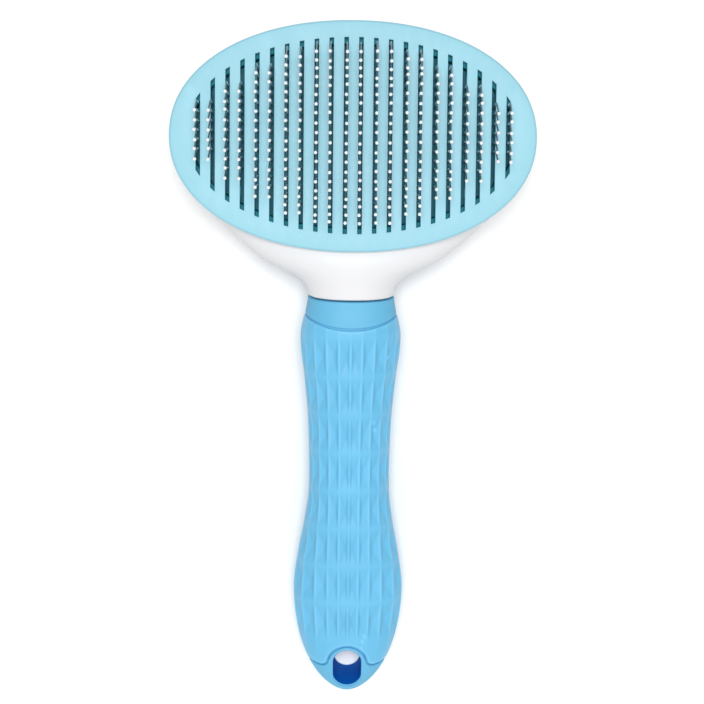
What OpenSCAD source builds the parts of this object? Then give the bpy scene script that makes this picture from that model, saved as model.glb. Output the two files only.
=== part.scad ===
// Oval self-cleaning slicker brush, lying on its back with the pins up.
// X runs across the head, +Y towards the head's far edge, -Y towards the handle's tail.
// +Z is the pins' side, and Z = 0 is the surface the brush lies on.

/* [Overall] */
// Length from the head's far edge to the handle's tail
total_length = 199.4; // [199:0.1:202]

/* [Face plate] */
// Width of the oval plate
plate_w = 103; // [102:0.5:104]
// Length of the oval plate along the handle's direction
plate_l = 64.4; // [64:0.1:66.5]
// Thickness of the plate
plate_t = 2.4; // [2:0.1:2.6]
// Height of the plate's top surface above the resting surface
plate_top = 38.4; // [38:0.1:39]
// Roundness of the outline: 2 is an ellipse, more is squarer
oval_power = 2.12; // [2:0.01:2.2]
// Distance between the centres of neighbouring slots
slot_pitch = 4.13; // [4.1:0.01:4.16]
// Width of a slot
slot_w = 1.25; // [1.2:0.05:1.4]
// Width of the oval that the slots fill
slot_field_w = 94; // [94:0.1:95.4]
// Length of the oval that the slots fill
slot_field_l = 54.8; // [54:0.1:56]
// Roundness of the oval that the slots fill
slot_field_power = 2.05; // [2:0.01:2.12]

/* [Pins] */
// Diameter of the pin wire
wire_d = 0.46; // [0.4:0.02:0.5]
// Diameter of the ball on each tip
ball_d = 1.0; // [0.8:0.05:1.1]
// Height of the ball's centre over the plate at rest
pin_reach = 11.3; // [11:0.1:11.5]
// Height of the wire's bend over the plate at rest
knee_reach = 5.5; // [5:0.1:6]
// How far the bent tip leans towards the handle
pin_lean = 3.2; // [2.5:0.1:3.4]
// Distance between neighbouring pins in a row
pin_pitch = 2.43; // [2.4:0.01:2.45]
// Shift of the pin field towards the head's far edge
pin_shift = 2; // [1.5:0.1:2.2]

/* [Push plate travel] */
// How far the button lifts the plate towards the pin tips
travel = 10.5; // [8:0.5:10.5]

/* [Head shell] */
// Wall thickness of the white shell
wall = 2; // [1.8:0.1:2.2]
// Height of the shell's back over the resting surface
shell_back = 11; // [11:0.1:12]

/* [Push button] */
// Width of the button
button_w = 56; // [54:0.5:57]
// Length of the button
button_l = 34; // [32:0.5:35]

/* [Handle] */
// Tilt of the handle's axis down from the plate
handle_tilt = 6.8; // [6.5:0.1:6.8]
// Height of the handle's axis where it meets the neck
neck_z = 22.3; // [22.3:0.1:23]
// Distance between the grip's rows of facets
grip_row = 11.6; // [11.3:0.05:11.6]
// Depth of the facets
facet_depth = 0.6; // [0.2:0.05:0.8]
// Thickness of the soft grip over the hard core
grip_t = 2; // [1.6:0.1:2.4]
// Radius of the hanging hole
hang_r = 4.2; // [3.8:0.1:4.4]
// Distance between the centres of the hanging hole's two round ends
hang_slot = 4; // [3.6:0.1:4.6]

/* [Hidden] */
$fn = 48;

// Clearances: running gap, gap between fixed pieces, and overlap that makes unions sound
gap = 0.3;
fit = 0.15;
eps = 0.05;

// Head levels, from the plate down to the button
head_y = total_length / 2 - plate_l / 2;
plate_under = plate_top - plate_t;
rim_z = plate_under - gap;
ledge_z = plate_under - 0.6;
pad_top = plate_under - 3;
pad_t = 1.95;
bed_top = plate_under - 5;
bed_t = 2;
bed_under = bed_top - bed_t;
cavity_floor = shell_back + wall;

// Pin field: rows are pairs of pin columns, and each has its own number of staples
row_count = 11;
row_staples = [6, 10, 14, 18, 20, 20, 20, 18, 14, 10, 6];
slot_count = 2 * row_count;
leg_x = slot_pitch / 2 - 0.05;
bridge_z = bed_top + 0.3;
knee_z = plate_top + knee_reach;
ball_z = plate_top + pin_reach;

// Guide posts on the plate, between the two slots of a pair, where no pins stand
post_x = 8 * slot_pitch;
post_y = 15.6;
post_d = 4;
post_neck_h = 4.5;
tip_d = 2.4;
lug_z = 16.2;
lug_t = 2;
lug_r = 2.4;

// Screws that hold the pin bed in the shell
screw_x = 37.9;
screw_y = 12.3;
screw_d = 2;
screw_head_d = 3.6;
screw_len = 8;
boss_r = 2.4;

// Return springs inside the button
spring_x = 14;
spring_d = 8;
spring_wire = 0.8;
spring_turns = 7;
button_floor = 2;

// Handle: stations along its axis, measured from the neck joint
neck_y = 22.4;
handle_len = (neck_y + total_length / 2) / cos(handle_tilt) - 0.2;
bulge_s = 89;
bulge_w = 16.65;
bulge_h = 10.3;
width_keys = [[0, 12.6], [11.7, 14.8], [25, 13.5], [36, 12.5], [50, 12.05],
              [60, 12.2], [70, 13.6], [80, 15.5], [bulge_s, bulge_w]];
height_keys = [[0, 11.2], [11.7, 12.1], [36, 10.8], [50, 10.4], [66, 10.4],
               [80, 10.4], [bulge_s, bulge_h]];
handle_power = 2.3;
shadow_gap = 0.45;
tang_w = 16.5;
tang_h = 14.6;
tang_len = 13;
neck_screw_s = -7;
grip_columns = 22;
grip_rows = 8;
first_row_s = 10.7;
collar_side_s = 6.1;
collar_sag = 2.3;
hang_s = 113.4;
eye_s = 112.4;
eye_r = 6.6;
eye_band_s = 112.5;
core_bore_r = 5.5;
core_bore_end = 86;

// ---- Curves -------------------------------------------------------------------------------

// A point on a rounded oval with half-axes a and b, at a polar angle
function oval_point(a, b, power, angle) =
    let (c = abs(cos(angle)), s = abs(sin(angle)),
         r = 1 / pow(pow(c / a, power) + pow(s / b, power), 1 / power))
    [r * cos(angle), r * sin(angle)];

function oval_points(a, b, power, n) =
    [for (i = [0 : n - 1]) oval_point(a, b, power, 360 * i / n)];

// A smooth curve through keys of [station, value], with its slope level at both ends
function slope(keys, i) =
    i == 0 || i == len(keys) - 1 ? 0
    : (keys[i + 1][1] - keys[i - 1][1]) / (keys[i + 1][0] - keys[i - 1][0]);
function key_before(keys, s, i = 0) =
    i >= len(keys) - 2 || s < keys[i + 1][0] ? i : key_before(keys, s, i + 1);
function smooth(keys, s) =
    let (i = key_before(keys, s), d = keys[i + 1][0] - keys[i][0],
         t = min(1, max(0, (s - keys[i][0]) / d)))
    keys[i][1] * (1 + 2 * t) * pow(1 - t, 2) + keys[i + 1][1] * t * t * (3 - 2 * t)
    + d * (slope(keys, i) * t * pow(1 - t, 2) - slope(keys, i + 1) * t * t * (1 - t));

// Half-width and half-thickness of the handle: the tail past the bulge is half an ellipse
// seen from above, and blunter seen from the side
function tail_fall(s) = 1 - pow(min(1, (s - bulge_s) / (handle_len - bulge_s)), 2);
function half_w(s) = s > bulge_s ? bulge_w * pow(tail_fall(s), 0.5) : smooth(width_keys, s);
function half_h(s) = s > bulge_s ? bulge_h * pow(tail_fall(s), 0.25) : smooth(height_keys, s);

// ---- Solids from rings --------------------------------------------------------------------

// A closed solid through rings of points, which turn anticlockwise seen from the last ring
module loft(rings) {
    n = len(rings[0]);
    m = len(rings);
    points = [for (ring = rings) each ring];
    sides = [for (j = [0 : m - 2], i = [0 : n - 1])
             let (a = j * n + i, b = j * n + (i + 1) % n)
             each [[a, a + n, b], [b, a + n, b + n]]];
    first = [for (i = [0 : n - 1]) i];
    last = [for (i = [n - 1 : -1 : 0]) (m - 1) * n + i];
    polyhedron(points, concat(sides, [first, last]));
}

// A ring across the handle at station s, shrunk by inset
function handle_ring(s, inset, n) =
    [for (i = [0 : n - 1])
     let (p = oval_point(half_w(s) - inset, half_h(s) - inset, handle_power, 360 * i / n))
     [p[0], -s, p[1]]];

// A level ring of the head's oval at height z
function head_ring(a, b, z, n) =
    [for (p = oval_points(a, b, oval_power, n)) [p[0], p[1] + head_y, z]];

module head_oval(w, l, power = oval_power) {
    translate([0, head_y])
        polygon(oval_points(w / 2, l / 2, power, 72));
}

// Puts a piece drawn along -Y from the neck joint into the tilted handle's place
module in_handle() {
    translate([0, neck_y, neck_z])
        rotate([handle_tilt, 0, 0])
            children();
}

module at_four(x, y) {
    for (sx = [-1, 1], sy = [-1, 1])
        translate([sx * x, head_y + sy * y, 0])
            children();
}

// ---- Head ---------------------------------------------------------------------------------

// Outer dome: half-width, half-length and height of each ring, from the back to the rim
dome = [[38.4, 20.5, 0], [43, 24.6, 1], [46, 27.3, 2.8], [48.5, 29.5, 5.6],
        [49.9, 30.8, 11], [50.6, 31.4, 18], [50.7, 31.6, rim_z - shell_back]];

module dome_solid() {
    loft([for (r = dome) head_ring(r[0], r[1], shell_back + r[2], 60)]);
}

// Inside of the dome, with a step that the pin bed's edge rests on
module dome_cavity() {
    step_z = bed_under - shell_back;
    inner = [[40.9, 22.6, wall], [42.8, 24.1, wall + 1], [45.1, 26.2, wall + 2.6],
             [46.7, 27.8, wall + 6], [47.3, 28.3, step_z - 0.01], [48.6, 29.6, step_z],
             [48.6, 29.6, rim_z - shell_back + 1]];
    loft([for (r = inner) head_ring(r[0], r[1], shell_back + r[2], 60)]);
}

// Funnel from the neck joint into the dome: [y, half-width, half-height, height of centre,
// power of the section's outline], which grows squarer towards the dome
funnel = [[24.8, 13, 11.4, 22.6, 2.3], [26.4, 14.1, 11.6, 22.8, 2.35],
          [28.2, 16.6, 11.8, 23, 2.4], [30, 20.3, 11.9, 23.2, 2.5], [31.8, 24, 12, 23.3, 2.6],
          [33.8, 27.1, 12, 23.3, 2.8], [38, 32.2, 12, 23.3, 3], [44.3, 39, 12, 23.3, 3.4],
          [48, 42.2, 12, 23.3, 3.6], [52, 44.6, 12, 23.3, 3.8], [56, 45.9, 11.9, 23.3, 4]];

module funnel_solid() {
    n = 48;
    neck_ring = [for (p = oval_points(12.5, 11.2, handle_power, n))
                 [p[0], neck_y - p[1] * sin(handle_tilt), neck_z + p[1] * cos(handle_tilt)]];
    loft(concat([for (i = [len(funnel) - 1 : -1 : 0])
                 [for (p = oval_points(funnel[i][1], funnel[i][2], funnel[i][4], n))
                  [p[0], funnel[i][0], funnel[i][3] + p[1]]]],
                [neck_ring]));
}

// Hole and countersink of the neck screw, and the socket for the handle's tang
module neck_socket() {
    in_handle() {
        translate([-tang_w / 2 - fit, -eps, -tang_h / 2 - fit])
            cube([tang_w + 2 * fit, tang_len + eps + 0.5, tang_h + 2 * fit]);
        translate([0, -neck_screw_s, -20])
            cylinder(r = 1.5, h = 20);
        translate([0, -neck_screw_s, -20])
            cylinder(r = 2.8, h = 20 - 9.4);
    }
}

module head_shell() {
    color("white")
    difference() {
        union() {
            difference() {
                union() {
                    dome_solid();
                    funnel_solid();
                }
                dome_cavity();
            }
            at_four(screw_x, screw_y)
                translate([0, 0, cavity_floor - 0.4])
                    cylinder(r = boss_r, h = bed_under - cavity_floor + 0.4);
        }
        translate([0, 0, shell_back - 1])
            linear_extrude(wall + 2)
                head_oval(button_w + 2 * gap, button_l + 2 * gap);
        at_four(screw_x, screw_y)
            translate([0, 0, bed_under - screw_len])
                cylinder(r = screw_d / 2 + eps, h = screw_len + 1);
        neck_socket();
    }
}

// Tray that carries the pin pad: its rim stands just under the plate
module pin_bed() {
    color([0.13, 0.47, 0.52])
    difference() {
        union() {
            translate([0, 0, bed_under + fit])
                linear_extrude(bed_t - fit)
                    head_oval(96.6, 58.6);
            translate([0, 0, bed_top - eps])
                linear_extrude(ledge_z - bed_top + eps)
                    difference() {
                        head_oval(96.6, 58.6);
                        head_oval(slot_field_w - 1.8, slot_field_l - 1.8, slot_field_power);
                    }
            for (sx = [-1, 1])
                translate([sx * spring_x, head_y, bed_under - 3])
                    cylinder(d = spring_d - spring_wire - 1, h = 3 + 1);
        }
        at_four(post_x, post_y)
            translate([0, 0, bed_under - 1])
                cylinder(r = post_d / 2 + gap, h = 20);
        at_four(screw_x, screw_y)
            translate([0, 0, bed_under - 1])
                cylinder(r = screw_d / 2 + fit, h = 20);
    }
}

// Rubber pad that the staples pierce
module pin_pad() {
    color([0.05, 0.32, 0.36])
    translate([0, 0, bed_top + eps])
        linear_extrude(pad_t)
            difference() {
                head_oval(slot_field_w - 2.2, slot_field_l - 2.2, slot_field_power);
                at_four(post_x, post_y)
                    circle(r = post_d / 2 + gap);
                at_four(screw_x, screw_y)
                    circle(r = screw_head_d / 2 + fit);
            }
}

// One leg of a staple: upright to the knee, then leaning, with a ball on the tip. The knee is
// a small sphere, a little wider than the wire, that both straight stretches end inside
module pin_leg() {
    rise = ball_z - knee_z;
    lean_angle = atan(pin_lean / rise);
    cylinder(d = wire_d, h = knee_z - bridge_z, $fn = 16);
    translate([0, 0, knee_z - bridge_z]) {
        sphere(d = wire_d + 0.06, $fn = 24);
        rotate([lean_angle, 0, 0])
            cylinder(d = wire_d - 0.02, h = norm([rise, pin_lean]), $fn = 16);
    }
    translate([0, -pin_lean, ball_z - bridge_z])
        sphere(d = ball_d, $fn = 24);
}

// A double row of pins: U-shaped staples, each with one leg in each of two slots
module pin_row(i) {
    count = row_staples[i];
    row_x = (i - (row_count - 1) / 2) * 2 * slot_pitch;
    color("silver")
    for (k = [0 : count - 1])
        translate([row_x, head_y + pin_shift + (k - (count - 1) / 2) * pin_pitch, bridge_z]) {
            translate([-leg_x - 0.25, -0.25, -0.21])
                cube([2 * leg_x + 0.5, 0.5, 0.42]);
            for (sx = [-1, 1])
                translate([sx * leg_x, 0, 0])
                    pin_leg();
        }
}

module bed_screws() {
    color("gray")
    at_four(screw_x, screw_y)
        translate([0, 0, bed_top + fit]) {
            difference() {
                cylinder(d = screw_head_d, h = 1.3);
                translate([0, 0, 0.6]) {
                    cube([2.4, 0.5, 2], center = true);
                    cube([0.5, 2.4, 2], center = true);
                }
            }
            translate([0, 0, -screw_len - bed_t + 0.5])
                cylinder(d = screw_d, h = screw_len + bed_t);
        }
}

// ---- Moving plate and button --------------------------------------------------------------

module slots() {
    intersection() {
        head_oval(slot_field_w, slot_field_l, slot_field_power);
        for (i = [0 : slot_count - 1])
            translate([(i - (slot_count - 1) / 2) * slot_pitch, head_y])
                square([slot_w, plate_l], center = true);
    }
}

// Post under the plate: a narrow neck under a web, a round shaft, and a barbed snap tip
module guide_post() {
    neck_w = slot_pitch - slot_w - 0.3;
    shaft_top = plate_under - post_neck_h;
    translate([-neck_w / 2, -1.5, shaft_top - eps])
        cube([neck_w, 3, post_neck_h + eps + 0.2]);
    translate([0, 0, lug_z + lug_t + eps])
        cylinder(d = post_d, h = shaft_top - lug_z - lug_t - eps);
    translate([0, 0, lug_z - 1])
        cylinder(d = tip_d, h = lug_t + 1.6);
    translate([0, 0, lug_z - 1.3])
        cylinder(d1 = tip_d - 0.6, d2 = tip_d + 0.9, h = 1.2);
}

module face_plate() {
    color([0.65, 0.89, 0.95]) {
        translate([0, 0, plate_under])
            linear_extrude(plate_t)
                difference() {
                    head_oval(plate_w, plate_l);
                    slots();
                }
        at_four(post_x, post_y)
            guide_post();
    }
}

// Button: a deep cup that stands out of the shell's back, with lugs for the plate's posts
module push_button() {
    wall_t = 1.6;
    color([0.65, 0.89, 0.95])
    difference() {
        union() {
            loft([for (r = [[24.5, 13.5, 0], [26, 15, 0.3], [27.3, 16.3, 1.1], [28, 17, 2.6],
                            [28, 17, lug_z + lug_t]])
                  head_ring(r[0] * button_w / 56, r[1] * button_l / 34, r[2], 60)]);
            at_four(post_x, post_y)
                translate([0, 0, lug_z])
                    cylinder(r = lug_r, h = lug_t);
            for (sx = [-1, 1], sy = [-1, 1])
                translate([sx * post_x, head_y + sy * post_y, lug_z])
                    rotate([0, 0, atan2(-sy * 9, -sx * 14)])
                        translate([0, -2.2, 0])
                            cube([16, 4.4, lug_t]);
        }
        translate([0, 0, button_floor])
            linear_extrude(30)
                head_oval(button_w - 2 * wall_t, button_l - 2 * wall_t);
        at_four(post_x, post_y)
            translate([0, 0, lug_z - 1])
                cylinder(d = tip_d + 0.2, h = lug_t + 2);
    }
    color([0.65, 0.89, 0.95])
    for (sx = [-1, 1])
        translate([sx * spring_x, head_y, button_floor - 0.5])
            cylinder(d = spring_d - spring_wire - 1, h = 4.5);
}

// Compression spring from the button's floor to the pin bed, with flat closed ends
module return_spring(side) {
    sides = 6;
    steps = 12 * spring_turns;
    low = button_floor + spring_wire / 2 + 0.1;
    high = bed_under + fit - spring_wire / 2 - 0.1;
    wire_r = spring_wire / 2;
    // Height along the wire: the first and last turns lie flat, a wire's thickness apart
    function rise(t) =
        t < 1 ? t * spring_wire * 1.05
        : t > spring_turns - 1 ? high - low - (spring_turns - t) * spring_wire * 1.05
        : spring_wire * 1.05
          + (t - 1) * (high - low - 2.1 * spring_wire) / (spring_turns - 2);
    color("silver")
    translate([side * spring_x, head_y, low])
        loft([for (k = [0 : steps])
              let (t = k * spring_turns / steps, a = 360 * t)
              [for (j = [0 : sides - 1])
               let (b = -360 * j / sides, r = spring_d / 2 + wire_r * cos(b))
               [r * cos(a), r * sin(a), rise(t) + wire_r * sin(b)]]]);
}

// ---- Handle -------------------------------------------------------------------------------

// Stretch of the handle's outline that the hard core shows at the neck: its lower edge dips
module collar_region(edge) {
    half = 12.6;
    curve_r = (half * half + collar_sag * collar_sag) / (2 * collar_sag);
    intersection() {
        translate([-20, -collar_side_s - collar_sag - edge])
            square([40, 20]);
        translate([0, -collar_side_s - collar_sag - edge + curve_r])
            circle(r = curve_r, $fn = 96);
    }
}

// Stretch at the tail that the hard core shows: a band, and a round eye for the hanging hole
module eye_region(edge) {
    translate([-20, -handle_len - 5])
        square([40, handle_len + 5 - eye_band_s + edge]);
    translate([0, -eye_s])
        circle(r = eye_r + edge);
}

module hang_hole() {
    for (sy = [-1, 1])
        translate([0, -hang_s + sy * hang_slot / 2, -20])
            cylinder(r = hang_r, h = 40);
    translate([-hang_r, -hang_s - hang_slot / 2, -20])
        cube([2 * hang_r, hang_slot, 40]);
}

module handle_core() {
    n = 40;
    collar_stations = [shadow_gap, 4, 7, 9.5, 12];
    tail_stations = [for (d = [20, 17, 14, 11, 8.2, 5.8, 3.8, 2.2, 1, 0.3, 0.03]) handle_len - d];
    core_stations = [9, 11.7, 18, 25, 36, 50, 66, 82, 92, 100, 108, 113];
    color([0.47, 0.78, 0.93])
    in_handle()
        difference() {
            union() {
                intersection() {
                    loft([for (s = collar_stations) handle_ring(s, 0, n)]);
                    translate([0, 0, -20])
                        linear_extrude(40)
                            collar_region(0);
                }
                intersection() {
                    loft([for (s = tail_stations) handle_ring(s, 0, n)]);
                    translate([0, 0, -20])
                        linear_extrude(40)
                            eye_region(0);
                }
                loft([for (s = core_stations) handle_ring(s, grip_t + fit, 32)]);
                loft([for (s = [1, 4, 8, 10]) handle_ring(s, grip_t + 1, 32)]);
                translate([-tang_w / 2, -2, -tang_h / 2])
                    cube([tang_w, tang_len + 2, tang_h]);
            }
            hang_hole();
            translate([0, tang_len + 1, 0])
                rotate([90, 0, 0])
                    cylinder(r = core_bore_r, h = tang_len + 1 + core_bore_end);
            translate([0, -neck_screw_s, -12])
                cylinder(r = 1.3, h = 12);
        }
}

// Outer skin of the grip: ridges along the columns and rows, and a dimple in every cell that
// lies towards the middle of the front, so each cell falls into four facets
module grip_skin() {
    lines = concat([4], [for (k = [0 : grip_rows]) first_row_s + k * grip_row], [118]);
    step = 360 / grip_columns;
    m = len(lines);
    n = grip_columns;
    function skin_point(s, angle, inset) =
        let (p = oval_point(half_w(s) - inset, half_h(s) - inset, handle_power, angle))
        [p[0], -s, p[1]];
    grid = [for (s = lines, i = [0 : n - 1]) skin_point(s, 90 + i * step, 0)];
    // The dimple sits 30% into the cell from the ridge nearer the front's centre line
    dimples = [for (j = [1 : m - 3], i = [0 : n - 1])
               let (left = i < n / 2, u = left ? 0.3 : 0.7)
               skin_point(lines[j] + 0.52 * grip_row, 90 + (i + u) * step, facet_depth)];
    faces = [for (j = [0 : m - 2], i = [0 : n - 1])
             let (a = j * n + i, b = j * n + (i + 1) % n, c = a + n, d = b + n,
                  p = m * n + (j - 1) * n + i)
             each (j == 0 || j == m - 2
                   ? [[a, c, b], [b, c, d]]
                   : [[a, p, b], [b, p, d], [d, p, c], [c, p, a]])];
    first = [for (i = [0 : n - 1]) i];
    last = [for (i = [n - 1 : -1 : 0]) (m - 1) * n + i];
    polyhedron(concat(grid, dimples), concat(faces, [first, last]));
}

module grip() {
    color([0.48, 0.78, 0.94])
    in_handle()
        difference() {
            grip_skin();
            loft([for (s = [2, 11.7, 18, 25, 36, 50, 66, 82, 92, 100, 108, 112, 116, 119])
                  handle_ring(s, grip_t, 32)]);
            translate([0, 0, -20])
                linear_extrude(40) {
                    collar_region(0.25);
                    eye_region(0.25);
                }
        }
}

// Countersunk screw through the back of the neck into the tang
module neck_screw() {
    color("gray")
    in_handle()
        translate([0, -neck_screw_s, 0]) {
            translate([0, 0, -9.45])
                mirror([0, 0, 1])
                    difference() {
                        cylinder(r = 2.6, h = 1.3);
                        translate([0, 0, 1.2]) {
                            cube([3, 0.6, 1.4], center = true);
                            cube([0.6, 3, 1.4], center = true);
                        }
                    }
            translate([0, 0, -9.6])
                cylinder(r = 1.25, h = 7.6);
        }
}

head_shell();
pin_bed();
pin_pad();
pin_row(0);  // pin_row_01
pin_row(1);  // pin_row_02
pin_row(2);  // pin_row_03
pin_row(3);  // pin_row_04
pin_row(4);  // pin_row_05
pin_row(5);  // pin_row_06
pin_row(6);  // pin_row_07
pin_row(7);  // pin_row_08
pin_row(8);  // pin_row_09
pin_row(9);  // pin_row_10
pin_row(10);  // pin_row_11
bed_screws();
face_plate();
push_button();
return_spring(-1);  // return_spring_left
return_spring(1);  // return_spring_right
handle_core();
grip();
neck_screw();
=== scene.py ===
"""Looks of the oval slicker brush. Lengths are in millimetres until a mesh is made from them."""

import bmesh
import bpy
import numpy as np
from mathutils import Matrix, Vector
from mathutils.geometry import delaunay_2d_cdt


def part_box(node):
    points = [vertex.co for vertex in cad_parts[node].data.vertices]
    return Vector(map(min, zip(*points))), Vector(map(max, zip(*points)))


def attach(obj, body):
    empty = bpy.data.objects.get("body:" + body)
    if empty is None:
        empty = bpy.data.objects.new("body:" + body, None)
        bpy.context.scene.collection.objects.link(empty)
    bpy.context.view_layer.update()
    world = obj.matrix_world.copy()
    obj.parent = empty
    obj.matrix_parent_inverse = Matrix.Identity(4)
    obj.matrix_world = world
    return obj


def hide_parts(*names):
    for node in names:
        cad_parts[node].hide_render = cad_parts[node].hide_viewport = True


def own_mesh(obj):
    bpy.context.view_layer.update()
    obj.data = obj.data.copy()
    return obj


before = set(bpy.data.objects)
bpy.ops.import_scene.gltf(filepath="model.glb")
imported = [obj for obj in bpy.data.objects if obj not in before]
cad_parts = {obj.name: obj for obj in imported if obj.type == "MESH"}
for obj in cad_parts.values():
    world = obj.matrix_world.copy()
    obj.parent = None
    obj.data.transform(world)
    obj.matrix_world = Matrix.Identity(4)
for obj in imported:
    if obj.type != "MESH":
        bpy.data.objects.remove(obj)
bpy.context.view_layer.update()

MM = 0.001


def node_box(name):
    """Lowest and highest corner of a CAD node, in millimetres."""
    low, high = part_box(name)
    return np.array(low) / MM, np.array(high) / MM


# ---- Sizes, read from the CAD nodes where they have one -----------------------------------

plate_low, plate_high = node_box("face_plate")
bed_low, bed_high = node_box("pin_bed")
pad_low, pad_high = node_box("pin_pad")

PLATE_W, PLATE_L = plate_high[0] - plate_low[0], plate_high[1] - plate_low[1]
PLATE_TOP, PLATE_T = plate_high[2], 2.4
PLATE_UNDER = PLATE_TOP - PLATE_T
HEAD_Y = (plate_low[1] + plate_high[1]) / 2
OVAL_POWER = 2.12
SLOT_POWER = 2.05
SLOT_PITCH, SLOT_W, SLOT_COUNT = 4.13, 1.22, 22
SLOT_FIELD_W, SLOT_FIELD_L = 93.7, 54.6
# The plate's outline lies this much nearer to the handle than in the CAD
PLATE_SHIFT = 0.2

# Four guide posts under the plate, and four screws in the bed
POST_X, POST_Y, POST_D = 8 * SLOT_PITCH, 15.6, 4.0
POST_HOLE_R = POST_D / 2 + 0.3
SCREW_X, SCREW_Y = 37.9, 12.3
SCREW_BOSS_R, SCREW_HOLE_R, SCREW_HEAD_HOLE_R = 2.4, 1.15, 1.95

# Push button: a cup in the shell's back, with a lug on an arm for each guide post
BUTTON_W, BUTTON_L, BUTTON_GAP = 56.0, 34.0, 0.3
BUTTON_WALL, BUTTON_FLOOR, BUTTON_ROUND = 1.6, 2, 2.8
LUG_Z, LUG_T, LUG_R, LUG_HOLE_R = 16.2, 2.0, 2.4, 1.3
ARM_X, ARM_Y, ARM_LENGTH, ARM_HALF_W = 14, 9, 15, 2.2
SPRING_X, SPRING_SEAT_R = 14, 3.1

SHELL_BACK = 11.0
RIM_Z = PLATE_UNDER - 0.3
WALL = 2.0

# Handle: stations run along its axis from the neck joint
TILT = np.radians(6.8)
NECK = np.array([0.0, 22.4, 22.3])
HANDLE_LEN = (NECK[1] + 100.0) / np.cos(TILT) - 0.9
HANDLE_POWER = 2.3
BULGE_S, BULGE_W, BULGE_H = 89.0, 16.65, 10.3
WIDTH_KEYS = [(0, 12.6), (11.7, 14.8), (25, 13.5), (36, 12.5), (50, 12.05),
              (60, 12.2), (70, 13.6), (80, 15.5), (BULGE_S, BULGE_W)]
HEIGHT_KEYS = [(0, 11.2), (11.7, 12.1), (36, 10.8), (50, 10.4), (66, 10.4),
               (80, 10.4), (BULGE_S, BULGE_H)]
NECK_GAP, NECK_RIM = 0.45, 0.35
TANG_W, TANG_H, TANG_POWER = 16.5, 14.6, 6
SOCKET_DEPTH, SOCKET_GAP = 13.5, 0.15
NECK_SCREW_S, NECK_SCREW_R, COUNTERBORE_R, COUNTERBORE_Z = 7, 1.5, 2.8, -9.4
GRIP_COLUMNS, GRIP_ROWS, FIRST_ROW, ROW_STEP = 22, 8, 10.7, 11.6
DIMPLE_DEPTH, DIMPLE_ACROSS, DIMPLE_ALONG = 0.7, 0.3, 0.52
FACET_FADE = 6.5
COLLAR_SIDE, COLLAR_SAG, COLLAR_HALF = 6.1, 2.3, 12.6
COLLAR_RAMP, COLLAR_DROP = 2.6, 0.12
EYE_S, EYE_R, EYE_BAND, EYE_SWEEP = 112.1, 6.2, 112.7, 2.4
HANG_S, HANG_R, HANG_SLOT = 113.4, 4.2, 4.0
HANG_LEAN = np.radians(4)


# ---- Curves -------------------------------------------------------------------------------

def oval_radius(a, b, power, angle):
    """Radius of a rounded oval with half-axes a and b at a polar angle in radians."""
    c, s = np.abs(np.cos(angle)), np.abs(np.sin(angle))
    return ((c / a) ** power + (s / b) ** power) ** (-1 / power)


def oval(a, b, power, angle):
    r = oval_radius(a, b, power, angle)
    return np.stack([r * np.cos(angle), r * np.sin(angle)], -1)


def smooth_keys(keys, s):
    """Smooth curve through keys of (station, value), level at both ends."""
    x = np.array([k[0] for k in keys], float)
    y = np.array([k[1] for k in keys], float)
    slope = np.zeros(len(x))
    slope[1:-1] = (y[2:] - y[:-2]) / (x[2:] - x[:-2])
    i = np.clip(np.searchsorted(x, s, side="right") - 1, 0, len(x) - 2)
    d = x[i + 1] - x[i]
    t = np.clip((s - x[i]) / d, 0, 1)
    return (y[i] * (1 + 2 * t) * (1 - t) ** 2 + y[i + 1] * t * t * (3 - 2 * t)
            + d * (slope[i] * t * (1 - t) ** 2 - slope[i + 1] * t * t * (1 - t)))


def tail_fall(s):
    return np.clip(1 - ((s - BULGE_S) / (HANDLE_LEN - BULGE_S)) ** 2, 0, 1)


def half_w(s):
    s = np.asarray(s, float)
    return np.where(s > BULGE_S, BULGE_W * tail_fall(np.maximum(s, BULGE_S)) ** 0.5,
                    smooth_keys(WIDTH_KEYS, s))


def half_h(s):
    s = np.asarray(s, float)
    return np.where(s > BULGE_S, BULGE_H * tail_fall(np.maximum(s, BULGE_S)) ** 0.25,
                    smooth_keys(HEIGHT_KEYS, s))


def handle_point(s, angle, inset=0.0):
    """Point on the handle's outline at station s, in the handle's own axes."""
    s, angle, inset = np.broadcast_arrays(np.asarray(s, float), angle, inset)
    a = np.maximum(half_w(s) - inset, 1e-3)
    b = np.maximum(half_h(s) - inset, 1e-3)
    r = oval_radius(a, b, HANDLE_POWER, angle)
    return np.stack([r * np.cos(angle), -s, r * np.sin(angle)], -1)


def to_world(p):
    """From the handle's own axes to the brush's."""
    c, s = np.cos(TILT), np.sin(TILT)
    y = p[..., 1] * c - p[..., 2] * s
    z = p[..., 1] * s + p[..., 2] * c
    return np.stack([p[..., 0], y, z], -1) + NECK


# ---- Mesh helpers -------------------------------------------------------------------------

def new_object(name, data):
    obj = bpy.data.objects.new(name, data)
    bpy.context.scene.collection.objects.link(obj)
    return obj


def new_mesh(name, points, faces):
    """A mesh from points in millimetres."""
    mesh = bpy.data.meshes.new(name)
    mesh.from_pydata((np.asarray(points) * MM).tolist(), [], [list(map(int, f)) for f in faces])
    return mesh


def shade_smooth(mesh, sharp):
    """Smooth shading, with sharp edges where the surface turns by more than sharp degrees."""
    mesh.polygons.foreach_set("use_smooth", [True] * len(mesh.polygons))
    mesh.set_sharp_from_angle(angle=np.radians(sharp))


def make_piece(name, points, faces, body, slot, materials, replaces, sharp):
    """A smooth-shaded piece that rides on a body and stands in for CAD nodes."""
    mesh = new_mesh(name, points, faces)
    mesh.validate()
    obj = new_object(name, mesh)
    for m in materials:
        mesh.materials.append(m)
    shade_smooth(mesh, sharp)
    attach(obj, body)
    if replaces:
        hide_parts(*replaces)
    return obj


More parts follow.
